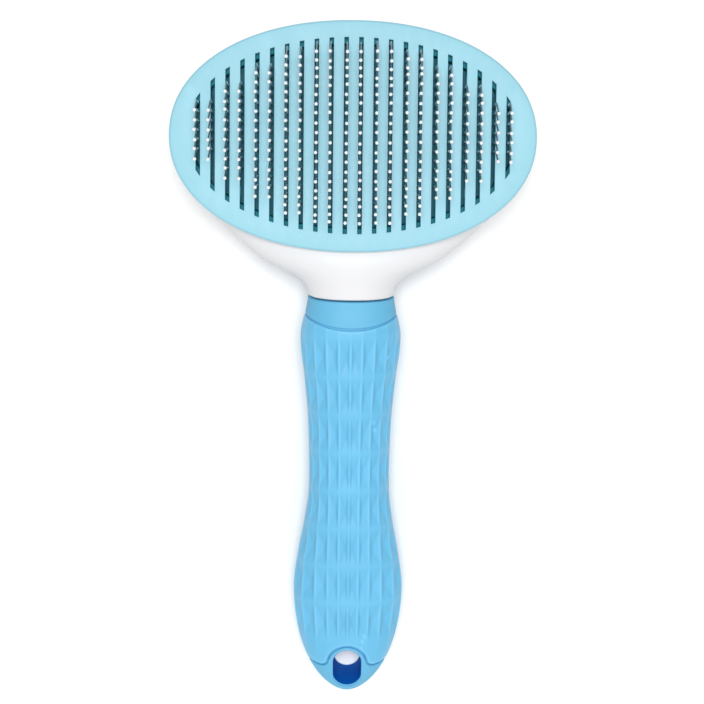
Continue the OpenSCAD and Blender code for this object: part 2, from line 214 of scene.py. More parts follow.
def grid_faces(rows, columns, flip=False):
    """Quads of a grid of rows by columns whose columns close into a ring."""
    r = np.arange(rows - 1)[:, None]
    c = np.arange(columns)[None, :]
    a = r * columns + c
    b = r * columns + (c + 1) % columns
    quad = np.stack([a, b, b + columns, a + columns], -1).reshape(-1, 4)
    return quad[:, ::-1] if flip else quad


def closed_loft(rings):
    """Points and faces of a closed solid through rings of equal length, capped by centre fans."""
    rings = np.asarray(rings, float)
    m, n = rings.shape[:2]
    points = np.concatenate([rings.reshape(-1, 3), rings[0].mean(0)[None], rings[-1].mean(0)[None]])
    faces = [tuple(f) for f in grid_faces(m, n)]
    first, last = m * n, m * n + 1
    for i in range(n):
        j = (i + 1) % n
        faces += [(first, j, i), (last, (m - 1) * n + i, (m - 1) * n + j)]
    return points, faces


def join(parts):
    """Several (points, faces) as one."""
    points, faces, start = [], [], 0
    for p, f in parts:
        points.append(np.asarray(p, float))
        faces += [tuple(int(i) + start for i in face) for face in f]
        start += len(p)
    return np.concatenate(points), faces


def at_level(loop, z):
    """A loop of 2D points as a ring at height z."""
    return np.column_stack([loop, np.full(len(loop), z)])


def offset_loop(loop, d):
    """A closed loop of 2D points moved inward by d; the loop runs anticlockwise."""
    before, after = np.roll(loop, 1, 0), np.roll(loop, -1, 0)
    e1, e2 = loop - before, after - loop
    n1 = np.stack([-e1[:, 1], e1[:, 0]], -1) / np.linalg.norm(e1, axis=1)[:, None]
    n2 = np.stack([-e2[:, 1], e2[:, 0]], -1) / np.linalg.norm(e2, axis=1)[:, None]
    bisector = n1 + n2
    length = (bisector * n1).sum(1)
    return loop + d * bisector / np.maximum(length, 0.35)[:, None]


def flat_face(outer, holes, z, up):
    """A flat face between one outer loop and its rounded holes, as points and triangles."""
    loops = [outer] + list(holes)
    points = [Vector((float(x), float(y))) for loop in loops for x, y in loop]
    edges, start = [], 0
    for loop in loops:
        n = len(loop)
        edges += [(start + i, start + (i + 1) % n) for i in range(n)]
        start += n
    loop_of = np.repeat(np.arange(len(loops)), [len(loop) for loop in loops])
    verts, _, faces, origins, *_ = delaunay_2d_cdt(points, edges, [], 1, 1e-7)
    flat = np.array([[v.x, v.y, z] for v in verts])
    loop_of_vert = np.array([loop_of[o[0]] if o else -1 for o in origins])
    kept = []
    for face in faces:
        first = loop_of_vert[face[0]]
        in_hole = first > 0 and all(loop_of_vert[i] == first for i in face)
        if not in_hole:
            kept.append(list(face) if up else list(face)[::-1])
    return flat, kept


def slab(outer, holes, z0, z1, rim, hole_rim):
    """A plate from z0 to z1 whose outer edge and holes have rounded edges above and below."""
    under_rim = 0.2
    steps = np.linspace(0, np.pi / 2, 6)
    top = [(rim * (1 - np.sin(a)), z1 - rim * (1 - np.cos(a))) for a in steps]
    low = [(under_rim * (1 - np.cos(a)), z0 + under_rim * (1 - np.sin(a))) for a in steps]

    def wall(loop, profile, flip):
        rings = [at_level(offset_loop(loop, d), z) for d, z in profile]
        return np.concatenate(rings), grid_faces(len(rings), len(loop), flip=flip)

    parts = [wall(outer, top + low, True)]
    hole_steps = np.linspace(0, np.pi / 2, 4)
    hole_top = [(-hole_rim * (1 - np.sin(a)), z1 - hole_rim * (1 - np.cos(a)))
                for a in hole_steps]
    hole_low = [(-hole_rim * (1 - np.cos(a)), z0 + hole_rim * (1 - np.sin(a)))
                for a in hole_steps]
    for hole in holes:
        parts.append(wall(hole, hole_top + hole_low, False))
    wide_holes = [offset_loop(hole, -hole_rim) for hole in holes]
    parts.append(flat_face(offset_loop(outer, rim), wide_holes, z1, True))
    parts.append(flat_face(offset_loop(outer, under_rim), wide_holes, z0, False))
    return join(parts)


def weld(obj):
    """Joins the vertices that lie on each other, and turns all faces outward."""
    distance = 0.0005
    bm = bmesh.new()
    bm.from_mesh(obj.data)
    bmesh.ops.remove_doubles(bm, verts=bm.verts, dist=distance * MM)
    bmesh.ops.recalc_face_normals(bm, faces=bm.faces)
    bm.to_mesh(obj.data)
    bm.free()
    return obj


def full_turn(n):
    return np.linspace(0, 2 * np.pi, n, endpoint=False)


def head_loop(w, l, power=OVAL_POWER):
    """Oval of the head, w by l, anticlockwise."""
    return oval(w / 2, l / 2, power, full_turn(240)) + [0, HEAD_Y]


def circle_loop(x, y, r, n=32):
    angle = full_turn(n)
    return np.stack([x + r * np.cos(angle), y + r * np.sin(angle)], -1)


def at_four(x, y):
    return [(sx * x, HEAD_Y + sy * y) for sx in (-1, 1) for sy in (-1, 1)]


# ---- Moulded pieces, as smooth level sets -------------------------------------------------

def soft_max(a, b, k):
    """Maximum of two distances with a fillet of about k."""
    h = np.maximum(k - np.abs(a - b), 0) / k
    return np.maximum(a, b) + h * h * k / 4


def soft_min(a, b, k):
    return -soft_max(-a, -b, k)


def oval_distance(x, y, a, b, power):
    """Roughly the distance from the rounded oval with half-axes a and b, below zero inside."""
    least = 1e-6
    rho = ((np.abs(x) / a) ** power + (np.abs(y) / b) ** power) ** (1 / power)
    outside = np.hypot(x, y) * (1 - 1 / np.maximum(rho, least))
    return np.where(rho > least, outside, -np.minimum(a, b))


def level_mesh(distance, low, high, step):
    """Smooth mesh where distance(x, y, z) is zero: one vertex in each cell that it crosses."""
    axes = [np.arange(l, h + step, step) for l, h in zip(low, high)]
    grid = np.meshgrid(*axes, indexing="ij")
    field = distance(*grid)
    inside = field < 0
    nx, ny, nz = field.shape
    corners = [(i, j, k) for i in (0, 1) for j in (0, 1) for k in (0, 1)]
    count = sum(inside[i:nx - 1 + i, j:ny - 1 + j, k:nz - 1 + k].astype(np.int8)
                for i, j, k in corners)
    cells = np.argwhere((count > 0) & (count < 8))
    index = np.full((nx - 1, ny - 1, nz - 1), -1, np.int64)
    index[tuple(cells.T)] = np.arange(len(cells))
    total, hits = np.zeros((len(cells), 3)), np.zeros(len(cells))
    for a in corners:
        for axis in range(3):
            if a[axis]:
                continue
            b = list(a)
            b[axis] = 1
            fa = field[cells[:, 0] + a[0], cells[:, 1] + a[1], cells[:, 2] + a[2]]
            fb = field[cells[:, 0] + b[0], cells[:, 1] + b[1], cells[:, 2] + b[2]]
            cross = (fa < 0) != (fb < 0)
            t = np.where(cross, fa / np.where(cross, fa - fb, 1), 0)
            offset = np.array(a, float)[None].repeat(len(cells), 0)
            offset[:, axis] = t
            total[cross] += offset[cross]
            hits[cross] += 1
    points = np.array(low) + (cells + total / hits[:, None]) * step
    faces = []
    for axis in range(3):
        u, v = (axis + 1) % 3, (axis + 2) % 3
        here = [slice(None)] * 3
        there = [slice(None)] * 3
        here[axis], there[axis] = slice(0, -1), slice(1, None)
        change = inside[tuple(here)] != inside[tuple(there)]
        edges = np.argwhere(change)
        edges = edges[(edges[:, u] > 0) & (edges[:, v] > 0)
                      & (edges[:, u] < field.shape[u] - 1) & (edges[:, v] < field.shape[v] - 1)]
        quad = []
        for du, dv in ((0, 0), (-1, 0), (-1, -1), (0, -1)):
            cell = edges.copy()
            cell[:, u] += du
            cell[:, v] += dv
            quad.append(index[tuple(cell.T)])
        quad = np.stack(quad, -1)
        solid_first = inside[tuple(edges.T)]
        quad[~solid_first] = quad[~solid_first][:, ::-1]
        faces.append(quad)
    faces = np.concatenate(faces)
    rounds, probe, least_slope = 4, 0.02, 0.05
    for _ in range(rounds):
        value = distance(*points.T)
        gradient = np.stack([
            (distance(*(points + probe * e).T) - distance(*(points - probe * e).T)) / (2 * probe)
            for e in np.eye(3)], -1)
        steepness = np.maximum((gradient ** 2).sum(1), least_slope)[:, None]
        move = -value[:, None] * gradient / steepness
        size = np.linalg.norm(move, axis=1)[:, None]
        points = points + move * np.minimum(1, 0.5 * step / np.maximum(size, 1e-9))
    return points, faces


# Dome: its half-width and half-length close in from the rim to the flat back, by an
# exponential of a power of the height. DOME_SLOPE is the rate times the power, rounded.
DOME_A, DOME_B = 50.7, 31.6
DOME_DROP_A, DOME_DROP_B = 12.2, 11.1
DOME_RATE, DOME_BEND, DOME_SLOPE = 0.47, 0.7, 0.33
# Funnel from the neck into the dome: y, half-width, half-height, height of centre, squareness
FUNNEL = [(20.0, 12.3, 11.2, 22.0, 2.3), (22.4, 12.5, 11.2, 22.3, 2.3), (24.8, 13, 11.4, 22.6, 2.3),
          (26.4, 14.1, 11.6, 22.8, 2.35), (28.2, 16.6, 11.8, 23, 2.4), (30, 20.3, 11.9, 23.2, 2.5),
          (31.8, 24, 12, 23.3, 2.6), (33.8, 27.1, 12, 23.3, 2.8), (38, 32.2, 12, 23.3, 3),
          (44.3, 39, 12, 23.3, 3.4), (48, 42.2, 12, 23.3, 3.6), (52, 44.6, 12, 23.3, 3.8),
          (56, 45.9, 11.9, 23.3, 4), (62, 46.5, 11.8, 23.3, 4)]
FUNNEL_SLOPE_Y, FUNNEL_SLOPE = [22, 26, 29, 32, 38, 60], [0.1, 0.9, 1.9, 1.5, 1.0, 0.2]
FUNNEL_END = 60


def dome_distance(x, y, z):
    rise = np.maximum(z - SHELL_BACK, 0)
    close = np.exp(-DOME_RATE * np.maximum(rise, 1e-6) ** DOME_BEND)
    side = oval_distance(x, y - HEAD_Y, DOME_A - DOME_DROP_A * close,
                         DOME_B - DOME_DROP_B * close, OVAL_POWER)
    slope = DOME_DROP_B * close * DOME_SLOPE / np.maximum(rise, 0.4) ** 0.3
    return soft_max(side / np.sqrt(1 + slope ** 2), SHELL_BACK - z, 1.2)


def funnel_distance(x, y, z):
    keys = np.array(FUNNEL)
    w, h, middle, power = (smooth_keys(list(zip(keys[:, 0], keys[:, k])), y) for k in (1, 2, 3, 4))
    side = oval_distance(x, z - middle, w, h, power)
    slope = np.interp(y, FUNNEL_SLOPE_Y, FUNNEL_SLOPE)
    facing = np.abs(x) / np.maximum(w, 1)
    return np.maximum(side / np.sqrt(1 + (slope * facing) ** 2), y - FUNNEL_END)


def in_handle_axes(x, y, z):
    """World points in the handle's own axes."""
    c, s = np.cos(TILT), np.sin(TILT)
    dy, dz = y - NECK[1], z - NECK[2]
    return x, dy * c + dz * s, -dy * s + dz * c


def shell_distance(x, y, z):
    """Dome and funnel, less the cavity, the button's opening, the tang's socket and its screw."""
    outer = soft_min(dome_distance(x, y, z), funnel_distance(x, y, z), 3.0)
    outer = soft_max(outer, z - RIM_Z, 0.6)
    hx, hy, hz = in_handle_axes(x, y, z)
    outer = soft_max(outer, -hy, 0.7)
    cavity = np.maximum(dome_distance(x, y, z) + WALL, SHELL_BACK + WALL - z)
    bosses = np.minimum.reduce([np.hypot(x - bx, y - by) - SCREW_BOSS_R
                                for bx, by in at_four(SCREW_X, SCREW_Y)])
    bosses = np.maximum(bosses, z - bed_low[2] + 0.15)
    shell = soft_max(outer, -np.maximum(cavity, -bosses), 0.5)
    opening = oval_distance(x, y - HEAD_Y, BUTTON_W / 2 + BUTTON_GAP, BUTTON_L / 2 + BUTTON_GAP,
                            OVAL_POWER)
    opening = np.maximum(opening, z - SHELL_BACK - WALL - 1)
    shell = soft_max(shell, -opening, 0.8)
    socket = np.maximum.reduce([np.abs(hx) - TANG_W / 2 - SOCKET_GAP, hy - SOCKET_DEPTH,
                                np.abs(hz) - TANG_H / 2 - SOCKET_GAP])
    screw = np.hypot(hx, hy - NECK_SCREW_S)
    counterbore = np.maximum(screw - COUNTERBORE_R, hz - COUNTERBORE_Z)
    hole = np.maximum(np.minimum(screw - NECK_SCREW_R, counterbore), hz)
    return soft_max(np.maximum(shell, -socket), -hole, 0.3)


def button_distance(x, y, z):
    """Cup with a rounded face, four lugs on arms from its wall, and two spring seats."""
    level = np.clip(BUTTON_ROUND - z, 0, BUTTON_ROUND)
    inset = BUTTON_ROUND - np.sqrt(np.maximum(BUTTON_ROUND ** 2 - level ** 2, 0))
    side = oval_distance(x, y - HEAD_Y, BUTTON_W / 2 - inset, BUTTON_L / 2 - inset, OVAL_POWER)
    top = LUG_Z + LUG_T
    outer = soft_max(np.maximum(side, -z), z - top, 0.6)
    cup = oval_distance(x, y - HEAD_Y, BUTTON_W / 2 - BUTTON_WALL, BUTTON_L / 2 - BUTTON_WALL,
                        OVAL_POWER)
    body = soft_max(outer, -np.maximum(cup, BUTTON_FLOOR - z), 0.5)
    for px, py in at_four(POST_X, POST_Y):
        direction = (np.array([-np.sign(px) * ARM_X, -np.sign(py - HEAD_Y) * ARM_Y])
                     / np.hypot(ARM_X, ARM_Y))
        dx, dy = x - px, y - py
        along = dx * direction[0] + dy * direction[1]
        across = np.abs(-dx * direction[1] + dy * direction[0])
        arm = np.maximum.reduce([-along, along - ARM_LENGTH, across - ARM_HALF_W])
        lug = np.minimum(np.hypot(dx, dy) - LUG_R, arm)
        lug = soft_max(lug, np.abs(z - LUG_Z - LUG_T / 2) - LUG_T / 2, 0.5)
        lug = np.maximum(lug, -(np.hypot(dx, dy) - LUG_HOLE_R))
        body = np.minimum(body, np.maximum(lug, -(cup + 1.0)))
    seat_z, seat_half = 4, 2
    for sx in (-1, 1):
        seat = np.maximum(np.hypot(x - sx * SPRING_X, y - HEAD_Y) - SPRING_SEAT_R,
                          np.abs(z - seat_z) - seat_half)
        body = soft_min(body, seat, 0.4)
    return body


# ---- Materials ----------------------------------------------------------------------------

def new_material(name, color, roughness, coat=0.0, metallic=0.0, ior=1.5, sheen=0.0):
    material = bpy.data.materials.new(name)
    material.use_nodes = True
    shader = material.node_tree.nodes["Principled BSDF"]
    shader.inputs["Base Color"].default_value = (*color, 1)
    shader.inputs["Roughness"].default_value = roughness
    shader.inputs["Metallic"].default_value = metallic
    shader.inputs["IOR"].default_value = ior
    shader.inputs["Coat Weight"].default_value = coat
    shader.inputs["Coat Roughness"].default_value = 0.25
    shader.inputs["Sheen Weight"].default_value = sheen
    return material, shader


def add_node(material, kind, **inputs):
    node = material.node_tree.nodes.new(kind)
    for name, value in inputs.items():
        node.inputs[name.replace("_", " ")].default_value = value
    return node


def link(material, source, target):
    material.node_tree.links.new(source, target)


def object_noise(material, scale, detail=3.0, roughness=0.5, stretch=(1, 1, 1)):
    """A noise in the object's own coordinates."""
    place = add_node(material, "ShaderNodeTexCoord")
    mapping = add_node(material, "ShaderNodeMapping", Scale=stretch)
    noise = add_node(material, "ShaderNodeTexNoise", Scale=scale, Detail=detail, Roughness=roughness)
    link(material, place.outputs["Object"], mapping.inputs["Vector"])
    link(material, mapping.outputs["Vector"], noise.inputs["Vector"])
    return noise


def ramp(material, source, stops):
    """Color ramp over a value; stops are (position, colour)."""
    node = add_node(material, "ShaderNodeValToRGB")
    elements = node.color_ramp.elements
    while len(elements) < len(stops):
        elements.new(0.5)
    for element, (position, color) in zip(elements, stops):
        element.position = position
        element.color = (*color, 1)
    link(material, source, node.inputs["Fac"])
    return node


def value_range(material, source, low, high, **inputs):
    """A value from 0 to 1, or over the range given in inputs, as one from low to high."""
    node = add_node(material, "ShaderNodeMapRange", To_Min=low, To_Max=high, **inputs)
    link(material, source, node.inputs["Value"])
    return node


def shade(color, factor):
    return tuple(min(1.0, c * factor) for c in color)


def moulded_material(name, color, roughness, grain, grain_depth, blotch, edge_shade_and_wear,
                     coat=0.0, ior=1.5, sheen=0.0, crest=0.1):
    """Moulded plastic or rubber: faint blotches, fine grain, uneven gloss, and a mix by curvature
    that is painted shade in hollows and painted highlight on crests, in part also edge abrasion.
    """
    material, shader = new_material(name, color, roughness, coat=coat, ior=ior, sheen=sheen)
    blotches = object_noise(material, 55, 3)
    tint = ramp(material, blotches.outputs["Fac"],
                [(0.3, shade(color, 1 - blotch)), (0.7, shade(color, 1 + blotch))])
    # Painted shade and highlight: hollows are drawn darker and crests lighter by the mesh's
    # pointiness; in part this also stands for edge abrasion
    shape = add_node(material, "ShaderNodeNewGeometry")
    edge_shade_mask = ramp(material, shape.outputs["Pointiness"],
                [(0.5 - 0.6 * crest, (0.0,) * 3), (0.5, (0.35,) * 3), (0.5 + crest, (1.0,) * 3)])
    dark = shade(color, 1 - edge_shade_and_wear)
    light = tuple(min(1.0, c * (1 + edge_shade_and_wear) + 0.25 * edge_shade_and_wear) for c in color)
    shift = ramp(material, edge_shade_mask.outputs["Color"], [(0.0, dark), (0.35, color), (1.0, light)])
    mix = add_node(material, "ShaderNodeMix")
    mix.data_type = "RGBA"
    mix.inputs["Factor"].default_value = 0.5
    link(material, tint.outputs["Color"], mix.inputs[6])
    link(material, shift.outputs["Color"], mix.inputs[7])
    link(material, mix.outputs[2], shader.inputs["Base Color"])
    gloss = value_range(material, object_noise(material, 140, 4).outputs["Fac"],
                        roughness - 0.07, roughness + 0.07)
    link(material, gloss.outputs["Result"], shader.inputs["Roughness"])
    grains = object_noise(material, grain, 5, 0.6)
    bump = add_node(material, "ShaderNodeBump", Strength=0.5, Distance=grain_depth)
    link(material, grains.outputs["Fac"], bump.inputs["Height"])
    link(material, bump.outputs["Normal"], shader.inputs["Normal"])
    return material


def wire_material(name, color, roughness, stretch=(1, 1, 0.1), painted_shade_above=0.0):
    """Drawn or plated steel: streaks along the wire and a faint tarnish, and painted shade that
    darkens the wire above a height.
    """
    material, shader = new_material(name, color, roughness, metallic=1.0)
    streaks = object_noise(material, 900, 3, 0.6, stretch)
    tint = ramp(material, streaks.outputs["Fac"],
                [(0.3, shade(color, 0.78)), (0.7, shade(color, 1.12))])
    final = tint.outputs["Color"]
    # Painted shade: above the height the wire's colour is scaled down to 0.3 of itself
    if painted_shade_above:
        place = add_node(material, "ShaderNodeTexCoord")
        height = add_node(material, "ShaderNodeSeparateXYZ")
        link(material, place.outputs["Object"], height.inputs["Vector"])
        fade = value_range(material, height.outputs["Z"], 1.0, 0.3,
                           From_Min=painted_shade_above, From_Max=painted_shade_above + 0.003)
        scale = add_node(material, "ShaderNodeVectorMath")
        scale.operation = "SCALE"
        link(material, final, scale.inputs[0])
        link(material, fade.outputs["Result"], scale.inputs["Scale"])
        final = scale.outputs["Vector"]
    link(material, final, shader.inputs["Base Color"])
    gloss = value_range(material, object_noise(material, 300, 3).outputs["Fac"],
                        roughness - 0.08, roughness + 0.12)
    link(material, gloss.outputs["Result"], shader.inputs["Roughness"])
    bump = add_node(material, "ShaderNodeBump", Strength=0.3, Distance=0.00002)
    link(material, streaks.outputs["Fac"], bump.inputs["Height"])
    link(material, bump.outputs["Normal"], shader.inputs["Normal"])
    return material


PLATE_CYAN = (0.27, 0.575, 0.685)
SHELL_WHITE = (0.75, 0.75, 0.765)
HANDLE_BLUE = (0.124, 0.455, 0.695)
GRIP_BLUE = (0.13, 0.48, 0.745)
# Painted shade: the hanging hole's wall is the handle's own blue plastic, drawn darker and deeper
# blue for the shade inside the hole
HOLE_SHADE_BLUE = (0.0, 0.16, 0.6)
BED_TEAL = (0.0, 0.19, 0.24)
PAD_TEAL = (0.002, 0.13, 0.18)

plate_material = moulded_material("plate_matt_cyan", PLATE_CYAN, 0.5, 1500, 0.00006, 0.03, 0.05)
shell_material = moulded_material("shell_satin_white", SHELL_WHITE, 0.5, 900, 0.00002, 0.012, 0.03,
                                  coat=0.05)
core_material = moulded_material("handle_satin_blue", HANDLE_BLUE, 0.6, 900, 0.00003, 0.03, 0.06)
# Painted highlight and shade: the grip's strong curvature mix draws its ridges light and its dimples
# dark
grip_material = moulded_material("grip_soft_blue", GRIP_BLUE, 0.5, 1700, 0.00006, 0.05, 0.2,
                                 sheen=0.1, crest=0.025)
hole_shade_material = moulded_material("hole_wall_painted_shade", HOLE_SHADE_BLUE, 0.7, 900, 0.00003, 0.05, 0.0, ior=1.2)
bed_material = moulded_material("bed_teal_plastic", BED_TEAL, 0.6, 900, 0.00003, 0.08, 0.1, ior=1.3)
pad_material = moulded_material("pad_dark_rubber", PAD_TEAL, 0.7, 1400, 0.00008, 0.15, 0.1)
# Painted shade: the pins' wire is drawn darker from 4 mm above the plate's top
wire_steel = wire_material("pin_bright_wire", (0.72, 0.73, 0.75), 0.24,
                           painted_shade_above=PLATE_TOP * MM + 0.004)
screw_steel = wire_material("screw_zinc_steel", (0.62, 0.63, 0.66), 0.3, (1, 1, 1))
spring_steel = wire_material("spring_steel_wire", (0.6, 0.61, 0.63), 0.3, (1, 1, 0.3))
tip_resin = moulded_material("pin_tip_white_resin", (0.86, 0.88, 0.9), 0.16, 900, 0.00001, 0.03,
                             0.03, coat=0.6)


def paint_cad_node(name, material):
    """Gives a CAD node that stays the same material all over."""
    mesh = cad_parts[name].data
    mesh.materials.clear()
    mesh.materials.append(material)
    shade_smooth(mesh, 30)


# ---- Head ---------------------------------------------------------------------------------

def build_shell():
    points, faces = level_mesh(shell_distance, (-52, 18, 9.5), (52, 101, 37.5), 0.55)
    return make_piece("head_shell_moulding", points, faces, "brush", "shell_white",
                      [shell_material], ["head_shell"], sharp=50)


def build_button():
    points, faces = level_mesh(button_distance, (-37.5, HEAD_Y - 21, -1.2),
                               (37.5, HEAD_Y + 21, LUG_Z + LUG_T + 1.2), 0.5)
    return make_piece("push_button_moulding", points, faces, "push_plate", "plate_cyan",
                      [plate_material], ["push_button"], sharp=50)


def slot_loops():
    """Each slot as an anticlockwise loop, its ends cut along the slot field's oval."""
    loops = []
    for i in range(SLOT_COUNT):
        x = (i - (SLOT_COUNT - 1) / 2) * SLOT_PITCH
        xs = x + np.linspace(-SLOT_W / 2, SLOT_W / 2, 4)
        reach = 1 - (np.abs(xs) / (SLOT_FIELD_W / 2)) ** SLOT_POWER
        ys = SLOT_FIELD_L / 2 * np.maximum(reach, 0.001) ** (1 / SLOT_POWER)
        low = np.stack([xs, HEAD_Y - ys], -1)
        high = np.stack([xs[::-1], HEAD_Y + ys[::-1]], -1)
        loops.append(np.concatenate([low, high]))
    return loops


def post_part(x, y):
    """Guide post under the plate: a flat web, a round shaft and a barbed snap tip."""
    web_w, web_half_l, web_power = SLOT_PITCH - SLOT_W - 0.3, 1.5, 8
    shaft_top = PLATE_UNDER - 4.5
    low = LUG_Z
    profile = [(0.5, low - 1.3), (0.9, low - 1.28), (1.65, low - 0.15), (1.6, low - 0.05),
               (1.2, low - 0.03), (1.2, low + LUG_T), (1.85, low + LUG_T + 0.02),
               (2.0, low + LUG_T + 0.2), (2.0, shaft_top - 0.2), (1.85, shaft_top)]
    rings = [at_level(circle_loop(x, y, r), z) for r, z in profile]
    for z, grow in ((shaft_top, 0), (PLATE_UNDER - 0.5, 0), (PLATE_UNDER + 0.1, 0.2)):
        edge = oval(web_w / 2 + grow, web_half_l + grow, web_power, full_turn(32))
        rings.append(at_level(edge + [x, y], z))
    return closed_loft(rings)


def build_plate():
    outer = head_loop(PLATE_W, PLATE_L) - [0, PLATE_SHIFT]
    parts = [slab(outer, slot_loops(), PLATE_UNDER, PLATE_TOP, 0.7, 0.13)]
    parts += [post_part(x, y) for x, y in at_four(POST_X, POST_Y)]
    plate = make_piece("face_plate_slotted", *join(parts), "push_plate", "plate_cyan",
                       [plate_material], ["face_plate"], sharp=40)
    return weld(plate)


def build_bed():
    """Tray whose ledge shows at the slots' ends, on a floor that carries the springs' seats."""
    ledge = bed_high[2]
    rim = head_loop(bed_high[0] - bed_low[0], bed_high[1] - bed_low[1])
    inner = head_loop(SLOT_FIELD_W - 1.6, SLOT_FIELD_L - 3.0, SLOT_POWER)
    floor_holes = [circle_loop(x, y, POST_HOLE_R) for x, y in at_four(POST_X, POST_Y)]
    floor_holes += [circle_loop(x, y, SCREW_HOLE_R) for x, y in at_four(SCREW_X, SCREW_Y)]
    floor_low = bed_low[2] + 3.15
    parts = [slab(rim, floor_holes, floor_low, pad_low[2] - 0.05, 0.3, 0.2),
             slab(rim, [inner], pad_low[2] - 0.2, ledge, 0.35, 0.3)]
    profile = [(2.6, bed_low[2]), (3.0, bed_low[2] + 0.05), (SPRING_SEAT_R, bed_low[2] + 0.4),
               (SPRING_SEAT_R, floor_low + 0.3)]
    for x in (-SPRING_X, SPRING_X):
        parts.append(closed_loft([at_level(circle_loop(x, HEAD_Y, r, 48), z) for r, z in profile]))
    bed = make_piece("pin_bed_tray", *join(parts), "brush", "bed_teal", [bed_material],
                     ["pin_bed"], sharp=40)
    return weld(bed)


def build_pad():
    outer = head_loop(SLOT_FIELD_W - 2.0, SLOT_FIELD_L - 3.4, SLOT_POWER)
    holes = [circle_loop(x, y, POST_HOLE_R) for x, y in at_four(POST_X, POST_Y)]
    holes += [circle_loop(x, y, SCREW_HEAD_HOLE_R) for x, y in at_four(SCREW_X, SCREW_Y)]
    part = slab(outer, holes, pad_low[2], pad_high[2], 0.4, 0.25)
    pad = make_piece("pin_pad_rubber", *part, "brush", "pad_rubber", [pad_material],
                     ["pin_pad"], sharp=40)
    return weld(pad)


# ---- Pins ---------------------------------------------------------------------------------

ROW_STAPLES = [6, 10, 14, 18, 20, 20, 20, 18, 14, 10, 6]
PIN_PITCH, PIN_SHIFT, PIN_LEAN = 2.43, 2.0, 3.2
WIRE_R, BALL_R = 0.23, 0.5
LEG_X = SLOT_PITCH / 2 - 0.15
BRIDGE_Z = pad_low[2] + 0.25
KNEE_Z = PLATE_TOP + 5.5
BALL_Z = node_box("pin_row_06")[1][2] - BALL_R
# Tips and knees fan out along a row and drift towards +Y, least in the middle three rows
FAN, FAN_SPAN = 0.75, 23.1
MIDDLE_DRIFT, SIDE_DRIFT = 0.15, 0.6
TIP_INWARD, TIP_LEFT = 0.04, 0.04
# Random sway: its spread, and the most that it may come to
STAPLE_SPREAD, STAPLE_MOST = 0.16, 0.35
TIP_SPREAD, TIP_MOST_X, TIP_MOST_Y = 0.11, 0.1, 0.12
KNEE_SPREAD = 0.12


def tube(path, radius, sides=8):
    """A round wire along a path of points, closed at both ends."""
    path = np.asarray(path, float)
    ahead = np.gradient(path, axis=0)
    ahead /= np.linalg.norm(ahead, axis=1)[:, None]
    side = np.cross(ahead[0], [0.3, 1.0, 0.2])
    rings = []
    angle = full_turn(sides)
    for p, t in zip(path, ahead):
        side = side - (side @ t) * t
        side /= np.linalg.norm(side)
        up = np.cross(t, side)
        rings.append(p + radius * (np.cos(angle)[:, None] * side + np.sin(angle)[:, None] * up))
    return closed_loft(rings)


def rounded_path(corners, radius):
    """The corners of a wire as a path whose inner corners are arcs."""
    per_corner = 5
    path = [corners[0]]
    for a, b, c in zip(corners[:-2], corners[1:-1], corners[2:]):
        back, on = a - b, c - b
        back, on = back / np.linalg.norm(back), on / np.linalg.norm(on)
        half = np.arccos(np.clip(-(back @ on), -1, 1)) / 2
        reach = radius * np.tan(half)
        for t in np.linspace(0, 1, per_corner):
            p, q = b + back * reach, b + on * reach
            path.append((1 - t) ** 2 * p + 2 * t * (1 - t) * b + t * t * q)
    path.append(corners[-1])
    return np.array(path)


def pin_tip(centre, direction):
    """A drop of resin on the wire's end, drawn out a little along the wire."""
    side = np.cross(direction, [1.0, 0, 0])
    side /= np.linalg.norm(side)
    up = np.cross(direction, side)
    angle = full_turn(14)
    around = np.cos(angle)[:, None] * side + np.sin(angle)[:, None] * up
    profile = [(-0.92, 0.44), (-0.72, 0.62), (-0.42, 0.88), (0.0, 1.0), (0.38, 0.92),
               (0.7, 0.71), (0.9, 0.43), (0.985, 0.17)]
    return closed_loft([centre + BALL_R * (along * direction + r * around)
                        for along, r in profile])


def build_pin_row(i, random):
    """One double row: U-shaped staples with a leg in each of two slots."""
    row_x = (i - (len(ROW_STAPLES) - 1) / 2) * 2 * SLOT_PITCH
    count = ROW_STAPLES[i]
    drift = MIDDLE_DRIFT if abs(i - len(ROW_STAPLES) // 2) < 2 else SIDE_DRIFT
    wires, tips = [], []
    for k in range(count):
        place = (k - (count - 1) / 2) * PIN_PITCH
        y = HEAD_Y + PIN_SHIFT + place
        fan = FAN * np.sin(np.pi * place / FAN_SPAN) + drift
        out = y + fan + np.clip(random.normal(0, STAPLE_SPREAD), -STAPLE_MOST, STAPLE_MOST)
        ends = []
        for sx in (-1, 1):
            sway_x, sway_y = random.normal(0, TIP_SPREAD, 2)
            knee = np.array([row_x + sx * LEG_X, out, KNEE_Z + random.normal(0, KNEE_SPREAD)])
            tip_x = row_x + sx * (LEG_X - TIP_INWARD) + np.clip(sway_x, -TIP_MOST_X, TIP_MOST_X)
            tip_y = out - PIN_LEAN + np.clip(sway_y, -TIP_MOST_Y, TIP_MOST_Y)
            tip = np.array([tip_x - TIP_LEFT, tip_y, BALL_Z])
            ends.append((tip, knee, np.array([row_x + sx * LEG_X, y, BRIDGE_Z])))
        left, right = ends
        wires.append(tube(rounded_path([*left, *right[::-1]], 1.0), WIRE_R))
        for tip, knee, _ in ends:
            tips.append(pin_tip(tip, (tip - knee) / np.linalg.norm(tip - knee)))
    name = "pin_row_%02d" % (i + 1)
    points, faces = join(wires + tips)
    wire_faces = sum(len(f) for _, f in wires)
    piece = make_piece(name + "_staples", points, faces, "brush", "pin_wire",
                       [wire_steel, tip_resin], [name], sharp=60)
    index = np.zeros(len(piece.data.polygons), np.int32)
    index[wire_faces:] = 1
    piece.data.polygons.foreach_set("material_index", index)
    return piece


# ---- Springs ------------------------------------------------------------------------------

